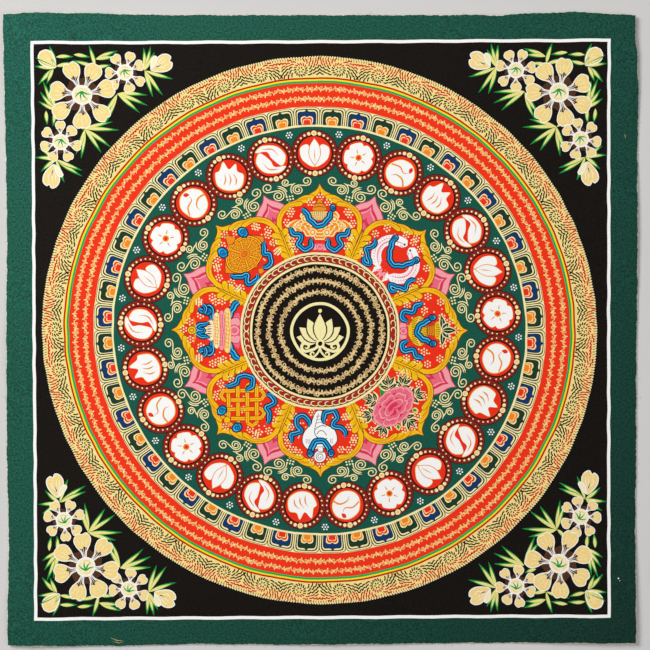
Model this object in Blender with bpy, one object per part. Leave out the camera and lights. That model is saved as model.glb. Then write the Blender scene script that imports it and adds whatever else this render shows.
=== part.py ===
"""A painted thangka sheet: one piece of primed cotton canvas, cut by hand, lying face up.

Metres, +Z up. +Y runs to the top of the picture, and the origin is under the middle of the sheet,
on the surface that the sheet lies on.
"""

import bmesh
import bpy
import numpy as np

# ---- Driving dimensions -------------------------------------------------------------------------
THICKNESS = 0.001  # cotton canvas with its primer and paint
CELLS = 32  # along each side of the sheet
SMOOTH_ANGLE = np.radians(35)

# The four cut corners, which aren't quite a square.
BOTTOM_LEFT = (-0.1965, -0.1987)
BOTTOM_RIGHT = (0.1981, -0.1975)
TOP_LEFT = (-0.1994, 0.1975)
TOP_RIGHT = (0.1978, 0.1969)

# How the scissors strayed from the straight line between two corners:
# (share of the side, how far the cut stands out from that line).
BOTTOM_CUT = (
    (0.00, 0.0000),
    (0.03, 0.0008),
    (0.18, 0.0009),
    (0.30, 0.0001),
    (0.48, 0.0006),
    (0.60, 0.0001),
    (0.80, -0.0003),
    (1.00, 0.0000),
)
TOP_CUT = (
    (0.00, 0.0000),
    (0.04, 0.0012),
    (0.13, 0.0011),
    (0.25, 0.0002),
    (0.75, 0.0004),
    (0.78, 0.0000),
    (0.84, 0.0017),
    (0.91, 0.0024),
    (0.97, 0.0008),
    (1.00, 0.0000),
)
LEFT_CUT = (
    (0.00, 0.0000),
    (0.02, 0.0003),
    (0.17, -0.0008),
    (0.30, 0.0001),
    (0.50, -0.0004),
    (0.67, -0.0010),
    (0.87, -0.0003),
    (1.00, 0.0000),
)
RIGHT_CUT = (
    (0.00, 0.0000),
    (0.22, 0.0000),
    (0.28, 0.0006),
    (0.47, 0.0007),
    (0.53, 0.0014),
    (0.78, 0.0015),
    (0.86, 0.0022),
    (0.92, 0.0016),
    (0.97, -0.0001),
    (1.00, 0.0000),
)

# Where the stiff canvas stands a little off the surface: (x, y, reach, height).
LIFTS = (
    (-0.200, 0.198, 0.090, 0.0030),
    (0.198, 0.197, 0.075, 0.0022),
    (0.198, -0.198, 0.085, 0.0026),
    (-0.197, -0.199, 0.070, 0.0018),
    (0.110, 0.200, 0.055, 0.0012),
    (-0.199, -0.010, 0.060, 0.0014),
    (0.200, 0.060, 0.055, 0.0012),
    (0.020, -0.199, 0.060, 0.0010),
)

CANVAS_COLOUR = (0.055, 0.065, 0.045, 1.0)
CANVAS_ROUGHNESS = 0.75


def clear_scene():
    for old in list(bpy.data.objects):
        bpy.data.objects.remove(old, do_unlink=True)


def stray(cut, share):
    """How far a cut stands out at this share of its side, eased between its named places."""
    places, heights = np.array(cut).T
    after = int(np.clip(np.searchsorted(places, share), 1, len(places) - 1))
    part = (share - places[after - 1]) / (places[after] - places[after - 1])
    eased = part * part * (3 - 2 * part)
    return heights[after - 1] + (heights[after] - heights[after - 1]) * eased


def straight(start, end, share):
    return np.array(start) + (np.array(end) - np.array(start)) * share


def sheet_point(across, up):
    """A point of the flat sheet, with its rows and columns following all four cut edges."""
    low = straight(BOTTOM_LEFT, BOTTOM_RIGHT, across)
    high = straight(TOP_LEFT, TOP_RIGHT, across)
    place = low + (high - low) * up
    place[0] += stray(RIGHT_CUT, up) * across - stray(LEFT_CUT, up) * (1 - across)
    place[1] += stray(TOP_CUT, across) * up - stray(BOTTOM_CUT, across) * (1 - up)
    return place


def lift(x, y):
    """How far the underside stands off the surface. It is 0 over the middle of the sheet."""
    height = 0.0
    for centre_x, centre_y, reach, top in LIFTS:
        nearness = 1 - ((x - centre_x) ** 2 + (y - centre_y) ** 2) / reach**2
        height = max(height, top * max(nearness, 0.0) ** 2)
    return height


def grid_points():
    """The sheet's grid of points, row by row from its bottom edge, centred on the origin."""
    shares = np.linspace(0, 1, CELLS + 1)
    points = np.array([sheet_point(across, up) for up in shares for across in shares])
    return points - (points.min(axis=0) + points.max(axis=0)) / 2


def add_layer(mesh, points, height_above):
    layer = [mesh.verts.new((x, y, lift(x, y) + height_above)) for x, y in points]
    return np.array(layer, dtype=object).reshape(CELLS + 1, CELLS + 1)


def rim_of(layer):
    """The layer's outer points, counter-clockwise seen from above."""
    return [*layer[0, :-1], *layer[:-1, -1], *layer[-1, :0:-1], *layer[:0:-1, 0]]


def canvas_material():
    material = bpy.data.materials.new("painted_canvas")
    material.use_nodes = True
    shader = material.node_tree.nodes["Principled BSDF"]
    shader.inputs["Base Color"].default_value = CANVAS_COLOUR
    shader.inputs["Roughness"].default_value = CANVAS_ROUGHNESS
    shader.inputs["Metallic"].default_value = 0.0
    return material


def make_canvas():
    points = grid_points()
    mesh = bmesh.new()
    under = add_layer(mesh, points, 0.0)
    over = add_layer(mesh, points, THICKNESS)
    for row in range(CELLS):
        for column in range(CELLS):
            corners = [(row, column), (row, column + 1), (row + 1, column + 1), (row + 1, column)]
            mesh.faces.new([over[corner] for corner in corners])
            mesh.faces.new([under[corner] for corner in reversed(corners)])
    low_rim = rim_of(under)
    high_rim = rim_of(over)
    for start in range(len(low_rim)):
        end = (start + 1) % len(low_rim)
        mesh.faces.new((low_rim[start], low_rim[end], high_rim[end], high_rim[start]))
    bmesh.ops.triangulate(mesh, faces=mesh.faces[:])

    data = bpy.data.meshes.new("painted_canvas")
    mesh.to_mesh(data)
    mesh.free()
    data.shade_smooth()
    data.set_sharp_from_angle(angle=SMOOTH_ANGLE)
    data.materials.append(canvas_material())
    canvas = bpy.data.objects.new("painted_canvas", data)
    bpy.context.scene.collection.objects.link(canvas)
    return canvas


clear_scene()
make_canvas()
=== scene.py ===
"""The looks of a painted mandala sheet: raw cotton canvas, the paint on it, and a plain studio.

The painting is drawn in millimetres on the plane of the sheet. A point is a complex number, x to
the right and y to the top of the picture, and each motif is drawn about its own origin by a Brush
that knows where the motif goes. Later shapes cover earlier ones. In the end all outlines are cut
into one flat layer of triangles, each with the pigment that lies on top there, and that layer is
laid on the sheet.
"""

import cmath
import math
import random

import bmesh
import bpy
import numpy as np
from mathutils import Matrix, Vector
from mathutils.bvhtree import BVHTree
from mathutils.geometry import delaunay_2d_cdt


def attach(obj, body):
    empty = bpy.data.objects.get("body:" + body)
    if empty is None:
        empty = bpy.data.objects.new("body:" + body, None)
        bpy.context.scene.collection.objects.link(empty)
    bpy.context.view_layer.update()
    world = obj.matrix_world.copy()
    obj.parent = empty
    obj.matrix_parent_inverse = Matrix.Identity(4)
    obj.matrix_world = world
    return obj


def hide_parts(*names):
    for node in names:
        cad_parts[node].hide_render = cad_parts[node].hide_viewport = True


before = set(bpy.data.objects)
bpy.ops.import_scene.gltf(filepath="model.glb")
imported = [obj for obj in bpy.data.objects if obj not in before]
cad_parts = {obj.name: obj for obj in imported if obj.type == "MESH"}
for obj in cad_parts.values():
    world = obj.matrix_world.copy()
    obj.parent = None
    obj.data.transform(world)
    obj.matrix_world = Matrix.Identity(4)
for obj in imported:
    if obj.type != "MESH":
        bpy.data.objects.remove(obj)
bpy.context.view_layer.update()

MM = 0.001
TAU = 2 * math.pi
UP = math.pi / 2
SHEET_NODE = "painted_canvas"

# ---- Pigments: colour as the eye sees it (0 to 255), roughness, and how much the coat varies -----
PIGMENTS = {
    "malachite": ((22, 75, 61), 0.62, 0.80),
    "lamp_black": ((7, 4, 2), 0.66, 3.60),
    "chalk": ((252, 250, 246), 0.60, 0.05),
    "cream": ((250, 234, 172), 0.55, 0.10),
    "shell_gold": ((255, 222, 142), 0.48, 0.16),
    "old_gold": ((230, 198, 140), 0.45, 0.25),
    "bronze": ((186, 148, 92), 0.50, 0.25),
    "rose_gold": ((252, 196, 126), 0.50, 0.20),
    "vermilion": ((242, 50, 16), 0.60, 0.12),
    "crimson": ((196, 20, 12), 0.60, 0.12),
    "lemon": ((255, 224, 22), 0.58, 0.10),
    "jade": ((10, 172, 92), 0.60, 0.14),
    "scarlet": ((238, 46, 18), 0.60, 0.12),
    "brick": ((166, 34, 18), 0.62, 0.22),
    "maroon": ((132, 30, 20), 0.62, 0.22),
    "oxblood": ((112, 16, 12), 0.62, 0.22),
    "orpiment": ((255, 190, 14), 0.58, 0.14),
    "amber": ((240, 142, 26), 0.58, 0.16),
    "orange": ((250, 136, 20), 0.58, 0.12),
    "umber": ((80, 48, 28), 0.64, 0.30),
    "azurite": ((8, 152, 216), 0.60, 0.16),
    "sky": ((110, 204, 240), 0.60, 0.12),
    "indigo": ((8, 26, 50), 0.62, 0.22),
    "navy": ((12, 52, 106), 0.62, 0.18),
    "field_green": ((16, 84, 68), 0.62, 0.28),
    "emerald": ((20, 152, 60), 0.60, 0.14),
    "bottle_green": ((24, 56, 38), 0.62, 0.25),
    "leaf": ((240, 226, 140), 0.58, 0.12),
    "blush": ((246, 160, 168), 0.60, 0.10),
    "rose": ((236, 104, 126), 0.60, 0.12),
    "carmine": ((220, 48, 84), 0.60, 0.14),
    "petal": ((250, 216, 138), 0.58, 0.14),
    "ivory": ((251, 236, 196), 0.58, 0.08),
}

# Painted shade and light: how much darker each coat is made towards the sheet's lower right and lighter
# towards its upper left, as the light falls from the upper left; the other pigments take 0.06.
PAINTED_SHADE = {"malachite": 0.58, "lamp_black": 0.30, "field_green": 0.15}

# ---- The sheet, in millimetres ------------------------------------------------------------------
COAT = 0.12  # how far the paint's surface stands above the canvas
BARE_EDGE = 0.30  # raw cotton left showing along the cut
MERGE = 0.00002  # points of the paint layer closer than this are one
GRID_STEP = 6.0  # the paint layer follows the sheet's lifts at this spacing
LINE_WIDTH = 1.95  # of the white border line
FRAY_STEP = 1.1  # between the places along the cut where a thread may stand out
FRAY_GAPS = 0.35  # the share of these places without a thread
THREAD_RADIUS = 0.11  # of a frayed thread at its root
WEAVE_SCALE = 1700.0 / 20 * 3.14  # of the wave textures, for 1,700 threads a metre
LINE_CORNERS = (-180.2 - 183.3j, 181.9 - 181.3j, 181.9 + 182.4j, -182.4 + 180.8j)

# ---- The mandala, in millimetres ----------------------------------------------------------------
CENTRE = -0.9 - 0.7j
OVAL = 0.0063  # the share by which it is stretched along x and squeezed along y
SKEW = -0.0050  # the same along its diagonals
INNER_DRIFT = 0.3 - 1.1j  # its innermost circles sit a little low
DRIFT_REACH = 110.0  # the circles from this radius on lie true
# The wander of the hand, as waves of the whole drawing: (length, size, heading).
HAND_WAVES = ((31.0, 0.16, 0.4), (17.0, 0.09, 1.9), (9.0, 0.045, 3.1), (23.0, 0.12, 5.0))

# Radii, from the middle outwards. A pair is the edge of a ground and the edge of the pale line round it.
EMBLEM_RING = (16.7, 18.5)
INNER_VINES = (24.8, 31.8, 39.0)
DISC_EDGE = (42.4, 43.7)
CHAIN_MIDDLE = 46.1
CHAIN_EDGE = (48.4, 49.8)
CHAIN_LINKS = 65
PETAL_COUNT = 8
PETAL_LEAN = (0.0, 1.6, 0.0, 0.4, -0.3, -0.4, 0.2, 0.4)  # degrees, clockwise round from the top
PETAL_ARC = 71.0  # the radius at which a petal's across is a true length
SYMBOL_RADIUS = 69.0
SYMBOL_DOTS = 26  # scattered over the ground of each symbol
BOUQUET_RADIUS = 85.0
BOUQUET_TURN = 0.222  # to each side of a petal's axis, in radians
FIELD_EDGE = (128.7, 129.7)
ROUNDEL_COUNT = 25
ROUNDEL_RADIUS = 111.9
ROUNDEL_SIZE = 14.4
ROUNDEL_START = 91.6  # where the first one is, in degrees
ROUNDEL_BEADS = 12.7
ROSETTE_RADIUS = 124.6  # of the rosettes between two roundels
FRIEZE_COUNT = 52
FRIEZE_EDGE = (140.0, 141.4)
OUTER_VINES = (146.4, 152.7)
RIM_LINES = ((160.0, "crimson"), (158.9, "lemon"), (157.9, "jade"), (156.5, "vermilion"))
SCROLL_EDGE = 160.4
SCROLL_RIM = 172.6
SCROLL_COUNT = 42
SLIT_REACH = 12.3  # to each side of a spiral
SLIT_BAND = (-5.6, 4.9)  # inwards and outwards of it
RIM_TEETH = 672
RING_SIDES = 360  # of the large circles
MIDDLE_SIDES = 240  # of those inside the petals

# The seed of each random draw.
BARE_EDGE_SEED = 5
FRAY_SEED = 11
INNER_VINE_SEED = 40
OUTER_VINE_SEED = 60

shapes = []  # (points, pigment, part), from the lowest to the highest


def circle(sides):
    return np.exp(1j * TAU * np.arange(sides) / sides)


def turned(angle, length=1.0):
    return cmath.rect(length, angle)


def smooth(knots, steps):
    """Smooth runs between the knots, apart from the outer two, which only set the ends' slopes."""
    t = np.arange(steps) / steps
    runs = []
    for a, b, c, d in zip(knots, knots[1:], knots[2:], knots[3:]):
        cubic = 3 * b - 3 * c + d - a
        runs.append(b + 0.5 * t * (c - a + t * (2 * a - 5 * b + 4 * c - d + t * cubic)))
    return np.concatenate(runs)


def curve(points, steps=4):
    """A smooth path through a few given points."""
    points = np.array(points, dtype=complex)
    knots = np.concatenate([2 * points[:1] - points[1:2], points, 2 * points[-1:] - points[-2:-1]])
    return np.append(smooth(knots, steps), points[-1])


def loop(points, steps=4):
    """A smooth closed outline through a few given points."""
    points = np.array(points, dtype=complex)
    return smooth(np.concatenate([points[-1:], points, points[:2]]), steps)


def closed(points):
    return np.append(points, points[:1])


def pressure(count, start, end):
    """How wide a stroke is along its way, beside its full width."""
    share = np.linspace(0, 1, count)
    width = np.ones(count)
    if start:
        width = np.minimum(width, share / start)
    if end:
        width = np.minimum(width, (1 - share) / end)
    return np.maximum(width**0.7, 0.12)


class Brush:
    """Draws flat shapes in a motif's own frame. put takes its points to the sheet."""

    def __init__(self, put):
        self.put = put

    def at(self, centre, turn=0.0, size=1.0, flip=False):
        """The brush for a motif with its own origin, turned, sized and perhaps mirrored."""

        def put(points):
            own = -points.conj() if flip else points
            return self.put(centre + own * turned(turn, size))

        return Brush(put)

    def both_sides(self):
        return self, self.at(0, flip=True)

    def fill(self, points, pigment, part=None):
        shapes.append((self.put(np.array(points, dtype=complex)), pigment, part))

    def fills(self, outline, *layers):
        """An outline in falling sizes, each (size, pigment) over the last."""
        for size, pigment in layers:
            self.fill(size * outline, pigment)

    def disc(self, centre, radius, pigment, sides=10, part=None):
        self.fill(centre + radius * circle(sides), pigment, part)

    def discs(self, centre, *layers):
        """Discs in falling sizes, each (radius, pigment, sides) over the last."""
        for radius, pigment, sides in layers:
            self.disc(centre, radius, pigment, sides)

    def line(self, path, width, pigment, start=0.0, end=0.0):
        """A stroke along a path. It narrows to a point over these shares of its ends."""
        path = np.array(path, dtype=complex)
        along = np.gradient(path)
        side = 0.5j * along / np.maximum(abs(along), 1e-9)
        side = side * width * pressure(len(path), start, end)
        left = self.put(path + side)
        right = self.put(path - side)
        for k in range(len(path) - 1):
            shapes.append((np.array([right[k], right[k + 1], left[k + 1], left[k]]), pigment, None))

    def lines(self, path, *layers):
        """Strokes of falling width along one path, each (width, pigment) over the last."""
        for width, pigment in layers:
            self.line(path, width, pigment)

    def comma(self, path, width, body, edge, rim):
        """A stroke that swells from a thin tail to a round head, with an edge line."""
        for extra, pigment in ((2 * rim, edge), (0.0, body)):
            self.line(path, width + extra, pigment, start=0.8)
            self.disc(path[-1], (width + extra) / 2, pigment)

    def outlined(self, points, body, edge, rim):
        """A filled outline with a line drawn round it."""
        self.fill(points, body)
        self.line(closed(points), rim, edge)


def leaf_shape(length, width, bend=0.0):
    """A pointed leaf from the origin up +y, its tip swung sideways by bend."""
    t = np.linspace(0, 1, 7)
    spine = bend * t**2 + 1j * length * t
    half = 0.5 * width * np.sin(np.pi * t**0.85)
    return np.concatenate([spine - half, (spine + half)[-2:0:-1]])


def mirrored(half):
    """A closed outline from its right half, which runs from the top middle to the bottom."""
    half = np.array(half, dtype=complex)
    other = -half[::-1].conj()
    return np.concatenate([half, other[abs(other.real) > 1e-9]])


def even(half, steps=4):
    """A smooth closed outline, the same on both sides, from its right half."""
    return mirrored(curve(half, steps))


def stretched(points, width, height):
    """The points of a unit shape, x times width and y times height."""
    return [complex(p.real * width, p.imag * height) for p in np.array(points)]


def tendril_path(root, centre, radius, turns, hand=1, sag=0.10):
    """A stem from root that runs into a spiral about centre, winding inwards."""
    back = root - centre
    first = cmath.phase(back) + hand * math.acos(min(radius / abs(back), 1.0))
    touch = centre + turned(first, radius)
    stem = curve([root, (root + touch) / 2 + sag * hand * 1j * (touch - root), touch])
    t = np.linspace(0, 1, max(6, round(12 * turns)))[1:]
    spiral = centre + radius * (1 - 0.84 * t**1.4) * np.exp(1j * (first + hand * TAU * turns * t))
    return np.concatenate([stem, spiral])


def warp(points):
    """The mandala as it was drawn by hand: slightly oval, its inner circles a little low."""
    angle = np.angle(points)
    oval = 1 + OVAL * np.cos(2 * angle) + SKEW * np.sin(2 * angle)
    drift = INNER_DRIFT * np.clip(1 - abs(points) / DRIFT_REACH, 0, 1)
    return CENTRE + points * oval + drift


def shake(points):
    """The small wander of a hand-held brush."""
    for length, size, heading in HAND_WAVES:
        along = (points * turned(-heading)).real
        points = points + turned(heading + 1.3, size) * np.sin(TAU * along / length)
    return points


sheet = Brush(lambda points: points)
mandala = Brush(warp)


def facing_out(radius, angle, size=1.0, flip=False):
    """A brush at this place on the mandala, with +y pointing away from its middle."""
    return mandala.at(turned(angle, radius), angle - UP, size, flip)


# ---- Common small motifs ------------------------------------------------------------------------
def rosette(brush, centre, spread=1.85, dot=0.58, pigment="cream"):
    brush.disc(centre, dot, pigment, 7)
    for spoke in circle(6):
        brush.disc(centre + spread * spoke, dot, pigment, 7)


def scarf(brush, points, width=2.5):
    """A fluttering silk scarf: dark edges, a bright middle and a few pleats."""
    path = curve(points, 7)
    along = np.gradient(path)
    side = 1j * along / abs(along)
    path = path + side * 0.09 * width * np.sin(np.cumsum(abs(along)) * TAU / 5.2)
    brush.line(path, width + 1.5, "indigo", 0.08, 0.08)
    brush.line(path, width, "azurite", 0.12, 0.12)
    brush.line(path + side * 0.32 * width, 0.4, "sky", 0.2, 0.2)
    brush.line(path, 0.7, "indigo", 0.2, 0.2)


def bow(brush, centre, size=1.0, flip=False):
    """A scarf's knot, seen as a rolled loop."""
    own = brush.at(centre, size=size, flip=flip)
    roll = loop([-2.6 - 1.0j, -2.2 + 2.4j, 0.6 + 3.6j, 3.0 + 1.0j, 2.2 - 2.6j, -0.8 - 3.2j])
    own.outlined(roll, "azurite", "indigo", 0.8 / size)
    own.line(tendril_path(-2.4 - 2.4j, 0.2 + 0.2j, 1.7, 1.3), 0.5 / size, "indigo")
    own.line(curve([-1.2 + 2.0j, 0.8 + 2.6j, 2.1 + 1.0j]), 0.45 / size, "sky", 0.3, 0.3)


def lotus_seat(brush, centre, width):
    """A pink lotus base with a jewel in its middle."""
    own = brush.at(centre, size=width / 12)
    seat = loop([-7 - 2.6j, -5.6 + 0.6j, -2.6 + 2.2j, 2.6 + 2.2j, 5.6 + 0.6j, 7 - 2.6j])
    own.outlined(seat, "rose", "carmine", 0.4)
    for side in own.both_sides():
        petal = loop([2.0 - 2.4j, 2.2 + 1.0j, 4.2 + 1.6j, 5.4 - 0.4j, 4.8 - 2.4j])
        side.outlined(petal, "blush", "carmine", 0.35)
    own.discs(-0.2j, (2.5, "carmine", 16), (2.1, "blush", 16), (1.3, "rose", 12))


# ---- The ground, its border line and the corner sprays ------------------------------------------
def cut_outline():
    """The sheet's cut edge seen from above, counter-clockwise, from the part's own rim."""
    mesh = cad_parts[SHEET_NODE].data
    rim = set()
    for face in mesh.polygons:
        if abs(face.normal.z) < 0.5:
            for k in face.vertices:
                rim.add((round(mesh.vertices[k].co.x, 6), round(mesh.vertices[k].co.y, 6)))
    points = np.array([complex(x, y) for x, y in rim]) / MM
    return points[np.argsort(np.angle(points))]


def spaced(points, step):
    """The closed outline with a point at least every step."""
    path = []
    for start, end in zip(points, np.roll(points, -1)):
        count = max(1, math.ceil(abs(end - start) / step))
        path.extend(start + (end - start) * np.arange(count) / count)
    return np.array(path)


def inwards(corner):
    """The way from a corner of the border line into the sheet, one step along each side."""
    return complex(-np.sign(corner.real), -np.sign(corner.imag))


def draw_ground():
    chance = random.Random(BARE_EDGE_SEED)
    edge = spaced(cut_outline(), 1.3)
    bare = np.array([BARE_EDGE * chance.choice((0.3, 0.6, 1.0, 1.5)) for _ in edge])
    sheet.fill(edge * (1 - bare / abs(edge)), "malachite", "paint_ground")
    sheet.fill(spaced(LINE_CORNERS, 4), "chalk")
    inner = [corner + LINE_WIDTH * inwards(corner) for corner in LINE_CORNERS]
    sheet.fill(spaced(inner, 4), "lamp_black")


SCUFFS = (  # rubbed streaks on the border, each from end to end
    (191.0 + 122.6j, 191.3 + 121.2j, 191.2 + 119.6j),
    (-133.0 - 194.0j, -128.4 - 195.6j, -123.6 - 196.2j),
    (-131.4 - 196.4j, -127.0 - 197.2j, -124.4 - 197.0j),
)


def draw_wear():
    """A few small marks of handling on the border."""
    sheet.disc(186.8 - 156.6j, 0.5, "chalk", 7)
    sheet.disc(187.7 - 158.0j, 0.25, "chalk", 6)
    for path, width in zip(SCUFFS, (0.3, 0.3, 0.25)):
        sheet.line(path, width, "old_gold", 0.4, 0.4)


def bamboo_leaf(brush, root, heading, length, bend, width=2.7):
    own = brush.at(root, math.radians(heading) - UP)
    own.fill(leaf_shape(length, width, bend), "emerald")
    own.fill(leaf_shape(0.80 * length, 0.70 * width, 0.64 * bend) + 0.12 + 0.1j, "leaf")


def blossom_petal(own, reach, length, half, notched):
    """One petal: a long narrow foot towards the flower's middle, and a broad round blade."""
    crown = 0.94j if notched else 1.0j
    side = [crown, 0.55 + 0.98j, 1 + 0.76j, 0.80 + 0.50j, 0.32 + 0.26j, 0.16]
    outline = reach * 1j + even(stretched(side, half, length), 3)
    own.fill(outline, "petal")
    for across in (-0.5, 0.0, 0.5):
        foot = reach * 1j + 0.6 * across * half + 0.46j * length
        middle = foot + 0.3 * across * half + 0.2j * length
        end = foot + 0.6 * across * half + 0.36j * length
        own.line([foot, middle, end], 0.09 * half, "ivory", 0.5, 0.5)
    heart = [-0.16 + 0.26j, -0.44 + 0.40j, -0.1 + 0.36j, 0.1 + 0.47j, 0.46 + 0.38j, 0.16 + 0.26j, 0.2, -0.2]
    own.fill(reach * 1j + np.array(stretched(heart, half, length)), "umber")
    own.line(closed(outline), 0.52 if length > 12 else 0.44, "chalk")
    for across in (-0.34, 0.0, 0.34):
        foot = 1j * reach + 0.1 * across * half
        middle = 1j * reach + 0.5 * across * half + 0.24j * length
        end = 1j * reach + across * half + 0.50j * length
        own.line([foot, middle, end], 0.36, "chalk", 0.0, 0.7)


def blossom(brush, centre, reach, length, half, turn):
    """An open flower: a pale button with green pistils, over a brown heart and seven petals."""
    own = brush.at(centre, turn)
    own.fill((reach + 0.40 * length) * circle(14) * np.tile([0.86, 1.0], 7), "umber")
    for k in range(7):
        sway = math.sin(2.4 * k + 3 * turn)
        side = own.at(0, TAU * (k + 0.07 * sway) / 7)
        blossom_petal(side, reach, (1 + 0.05 * sway) * length, (1 - 0.06 * sway) * half, k % 3 != 1)
    button = 1.12 * reach
    own.discs(0, (button, "chalk", 20), (0.88 * button, "ivory", 20))
    for start in (0.4, 2.3, 4.2):
        arc = 0.64 * button * np.exp(1j * (start + np.linspace(0, 1.6, 6)))
        own.line(arc, 0.14 * button, "petal", 0.3, 0.3)
    root = -0.35j * button
    for heading in (0.5, 1.2, 1.9, 2.6):
        tip = root + turned(heading - 0.2, 0.95 * button)
        own.line([root, root + turned(heading, 0.5 * button), tip], 0.17 * button, "emerald", 0.0, 0.6)


def bud(brush, centre, heading, size):
    """A closed bud: one broad petal between two sepals."""
    own = brush.at(centre, math.radians(heading) - UP, size)
    own.outlined(even([14.2j, 3.4 + 12.6j, 5.0 + 8.6j, 3.2 + 3.6j, 0.5]), "petal", "chalk", 0.7)
    for across in (-1.6, 0.0, 1.6):
        own.line([0.3 * across + 3j, 0.8 * across + 7j, across + 11j], 0.4, "ivory", 0.5, 0.5)
    bamboo_leaf(own, 0, 62, 14.5, -2.4, 2.0)
    bamboo_leaf(own, 0, 118, 6.0, 1.0, 1.8)


def side_bloom(brush, centre, heading, size):
    """A half-open bloom at a spray's end, seen from its side."""
    own = brush.at(centre, math.radians(heading) - UP, size)
    cup = loop([0.2 - 0.4j, -2.8 + 2.6j, -4.6 + 6.6j, -4.2 + 10.4j, -1.8 + 12.2j, -0.4 + 11.2j,
                1.4 + 13.0j, 3.8 + 11.6j, 4.9 + 8.0j, 3.2 + 3.4j])
    own.outlined(cup, "petal", "chalk", 0.55)
    fold = loop([0.6 + 0.2j, 3.6 + 1.4j, 6.2 + 4.4j, 4.6 + 5.8j, 2.2 + 4.0j])
    own.outlined(fold, "ivory", "chalk", 0.5)
    for bend, tip in ((-2.2 + 6.6j, -0.6 + 10.8j), (0.4 + 6.0j, 1.4 + 10.2j), (2.4 + 6.4j, 3.0 + 9.6j)):
        own.line([0.2 + 2.6j, bend, tip], 0.45, "chalk", 0.2, 0.5)
    own.line([0.1 + 3.0j, -0.2 + 4.6j, 0.3 + 6.4j], 0.6, "umber", 0.0, 0.6)


# Fans of leaves in a corner: where they grow from, (heading in degrees, length) of each leaf.
# Both are seen from the corner, x along one border line and y along the other.
SPRAY_FANS = (
    (14.0 + 8.4j, ((-10, 11.0),)),
    (14.0 + 14.0j, ((-8, 10.5), (-102, 13.5))),
    (25.0 + 6.6j, ((0, 10.5),)),
    (38.4 + 14.0j, ((-100, 14.0), (-160, 15.0), (2, 10.0))),
    (38.6 + 9.4j, ((-26, 15.0), (-11, 13.5))),
    (12.4 + 15.4j, ((-166, 12.0), (140, 14.0), (122, 10.5))),
    (13.8 + 41.0j, ((-118, 20.0), (-108, 17.0), (-136, 15.0), (-160, 12.0))),
    (7.4 + 41.6j, ((92, 9.0),)),
    (12.4 + 41.6j, ((84, 9.6),)),
    (69.6 + 16.2j, ((-88, 14.5), (-72, 15.5), (-56, 13.0), (22, 18.5), (58, 19.5), (77, 17.5))),
    (52.0 + 31.0j, ((-2, 19.5), (17, 21.0), (36, 19.0), (106, 19.0), (118, 17.5))),
    (44.6 + 28.4j, ((-8, 7.5),)),
    (31.6 + 53.4j, ((-20, 18.5), (-3, 22.0), (30, 20.5), (50, 18.5), (92, 18.5), (104, 16.5), (-140, 9.0))),
    (13.8 + 72.4j, ((-140, 13.0), (-168, 13.5), (148, 12.0), (75, 15.5), (36, 19.5), (26, 18.0))),
)


def corner_spray(corner, turn):
    """A spray of blossoms, drawn as seen from a corner of the border line."""
    way = inwards(corner)
    inner = corner + LINE_WIDTH * way
    brush = Brush(lambda points: inner + points.real * way.real + 1j * points.imag * way.imag)
    for number, (root, leaves) in enumerate(SPRAY_FANS):
        for heading, length in leaves:
            bamboo_leaf(brush, root, heading, length, 1.4 if number % 2 else -1.4)
    bud(brush, 13.6 + 14.6j, -134, 0.95)
    blossom(brush, 57.4 + 17.6j, 4.6, 8.4, 3.3, turn - 0.2)
    blossom(brush, 16.6 + 61.2j, 4.6, 8.4, 3.3, turn + 0.4)
    blossom(brush, 30.2 + 31.8j, 5.6, 15.6, 5.5, turn)
    side_bloom(brush, 74.0 + 15.6j, -26, 1.1)
    side_bloom(brush, 12.6 + 76.0j, 102, 1.1)


def draw_sprays():
    for corner, turn in zip(LINE_CORNERS, (0.1, 0.35, 0.2, 0.0)):
        corner_spray(corner, turn)


# ---- Rings from the rim inwards -----------------------------------------------------------------
def slit(brush, path, width=0.74):
    """A gap between two gold strokes. It shows black on the ring's inner half and red further out."""
    middle = path[1]
    if abs(middle.real) < SLIT_REACH and SLIT_BAND[0] < middle.imag < SLIT_BAND[1]:
        brush.line(path, width, "crimson" if middle.imag > 0.2 else "lamp_black")


def scroll_unit(own):
    """One spiral of the gold rim: an eye of beads, a ring of rays, and strokes that flow out of it."""
    eye = 0.4 - 1.3j
    for heading in TAU * np.arange(6) / 6:
        slit(own, eye + np.array([0.9, 1.5, 2.1]) * turned(heading))
    for heading in TAU * np.arange(15) / 15:
        swirl = np.exp(1j * (heading + np.array([0.0, 0.15, 0.3])))
        slit(own, eye + np.array([2.8, 3.6, 4.5]) * swirl, 0.8)
    for ring, radius in enumerate((5.5, 7.9, 10.1, 12.1)):
        count = round(TAU * radius / 1.9)
        for k in range(count):
            heading = TAU * (k + 0.5 * ring) / count + np.array([0.0, 0.5, 1.4]) * 1.3 / radius
            slit(own, eye + (radius + np.array([-0.1, 1.0, 2.0])) * np.exp(1j * heading), 0.84)


def draw_scroll_rim():
    for k in range(RIM_TEETH):
        own = facing_out(SCROLL_RIM - 1.0, TAU * k / RIM_TEETH)
        lean = 0.6 * math.sin(SCROLL_COUNT / 2 * TAU * k / RIM_TEETH)
        own.line([0, 0.4 * lean + 0.7j, lean + 1.3j, 1.7 * lean + 1.8j], 1.15, "cream", 0.0, 0.3)
    mandala.disc(0, SCROLL_RIM, "shell_gold", RING_SIDES, "paint_scroll_rim")
    middle = (SCROLL_EDGE + SCROLL_RIM) / 2
    for k in range(SCROLL_COUNT):
        scroll_unit(facing_out(middle, TAU * k / SCROLL_COUNT, flip=k % 2 == 0))
    for k in range(RIM_TEETH):
        own = facing_out(SCROLL_RIM - 1.9, TAU * (k + 0.5) / RIM_TEETH)
        own.line([0, 0.8j, 1.7j], 0.50, "crimson" if k % 3 else "lamp_black", 0.3)
    for radius, pigment in RIM_LINES:
        mandala.disc(0, radius, pigment, RING_SIDES, "paint_red_ring")


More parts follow.
